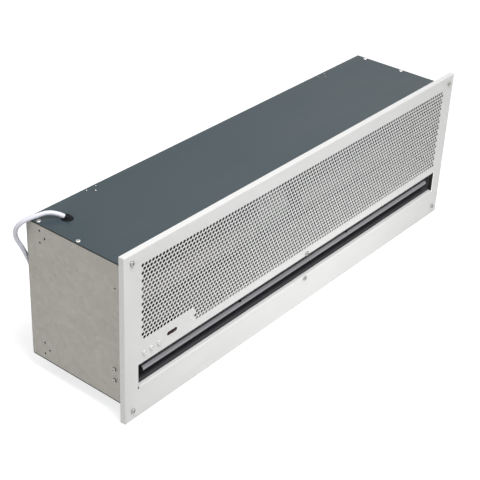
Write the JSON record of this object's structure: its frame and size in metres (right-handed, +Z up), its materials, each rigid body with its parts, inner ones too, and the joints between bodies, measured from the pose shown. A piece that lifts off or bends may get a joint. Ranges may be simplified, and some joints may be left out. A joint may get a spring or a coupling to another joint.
{
  "type": "air curtain",
  "caption": "Recessed air curtain: perforated front panel with outlet slot and tilting vane, sheet housing, cross-flow impellers on a central motor, supply lead.",
  "frame": {"origin": "bottom centre of the unit: middle of its length and depth, at the front panel's lower edge", "axes": "+X along the unit to the right seen from the front, -Y out of the front panel, +Z up"},
  "size_m": [0.9726, 0.3582, 0.32],
  "materials": {
    "panel_coat": "satin white powder coat",
    "slate_sheet": "smooth slate-grey prepainted sheet",
    "zinc_sheet": "galvanised sheet, dull zinc",
    "dark_sheet": "matt dark grey paint",
    "case_screw": "bright zinc-plated pan-head screws",
    "panel_screw": "bright nickel-plated pan-head screws",
    "impeller": "bare rolled aluminium",
    "steel_shaft": "ground steel",
    "black_rubber": "matt moulded rubber",
    "motor_casting": "die-cast, bead-blasted",
    "vane_aluminium": "anodised extrusion, satin",
    "white_plastic": "moulded nylon",
    "black_plastic": "moulded, fine grain",
    "board": "solder-masked board",
    "smoked_window": "dark red infrared window, polished",
    "button_plastic": "white moulded caps",
    "black_lead": "extruded sheath",
    "white_lead": "extruded white sheath",
    "plug_plastic": "moulded on the lead"
  },
  "bodies": {
    "housing": {"housing_wrap": "slate_sheet", "end_plate_left": "zinc_sheet", "end_plate_right": "zinc_sheet", "top_screw_1": "case_screw", "top_screw_2": "case_screw", "top_screw_3": "case_screw", "top_screw_4": "case_screw", "front_panel": "panel_coat", "panel_screw_1": "panel_screw", "panel_screw_2": "panel_screw", "panel_screw_3": "panel_screw", "panel_screw_4": "panel_screw", "panel_screw_5": "panel_screw", "panel_screw_6": "panel_screw", "scroll_casing": "dark_sheet", "outlet_tongue": "zinc_sheet", "duct_wall_left": "dark_sheet", "duct_wall_right": "dark_sheet", "end_screw_left_1": "case_screw", "end_screw_left_2": "case_screw", "end_screw_right_1": "case_screw", "end_screw_right_2": "case_screw", "bearing_left": "steel_shaft", "bearing_right": "steel_shaft", "bearing_mount_left": "black_rubber", "bearing_mount_right": "black_rubber", "motor_body": "motor_casting", "motor_ring_left": "black_rubber", "motor_ring_right": "black_rubber", "motor_cradle": "zinc_sheet", "vane_bush_left": "white_plastic", "vane_bush_right": "white_plastic", "vane_hanger_left": "zinc_sheet", "vane_hanger_right": "zinc_sheet", "control_housing": "black_plastic", "control_board": "board", "receiver_window": "smoked_window", "wiring_box": "zinc_sheet", "terminal_block": "white_plastic", "motor_capacitor": "black_plastic", "motor_cable": "black_lead", "control_cable": "black_lead", "cable_gland": "black_plastic", "cord_lead": "white_lead", "cord_coil": "white_lead", "coil_tie": "black_plastic", "plug": "plug_plastic"},
    "rotor": {"impeller_left": "impeller", "impeller_right": "impeller", "motor_shaft": "steel_shaft", "end_shaft_left": "steel_shaft", "end_shaft_right": "steel_shaft"},
    "vane": {"vane": "vane_aluminium", "vane_pin_left": "steel_shaft", "vane_pin_right": "steel_shaft"},
    "button_1": {"button_1": "button_plastic"},
    "button_2": {"button_2": "button_plastic"},
    "button_3": {"button_3": "button_plastic"}
  },
  "joints": [
    {"name": "rotor_spin", "type": "hinge", "parent": "housing", "child": "rotor", "pos_m": [0, 0.005, 0.165], "axis": [1, 0, 0], "continuous": true},
    {"name": "vane_tilt", "type": "hinge", "parent": "housing", "child": "vane", "pos_m": [0, -0.095, 0.104], "axis": [1, 0, 0], "range_deg": [-25, 45]},
    {"name": "button_1_press", "type": "slide", "parent": "housing", "child": "button_1", "axis": [0, 1, 0], "range_m": [0, 0.0012], "stiffness_N_per_m": 300, "springref_m": -0.001},
    {"name": "button_2_press", "type": "slide", "parent": "housing", "child": "button_2", "axis": [0, 1, 0], "range_m": [0, 0.0012], "stiffness_N_per_m": 300, "springref_m": -0.001},
    {"name": "button_3_press", "type": "slide", "parent": "housing", "child": "button_3", "axis": [0, 1, 0], "range_m": [0, 0.0012], "stiffness_N_per_m": 300, "springref_m": -0.001}
  ]
}
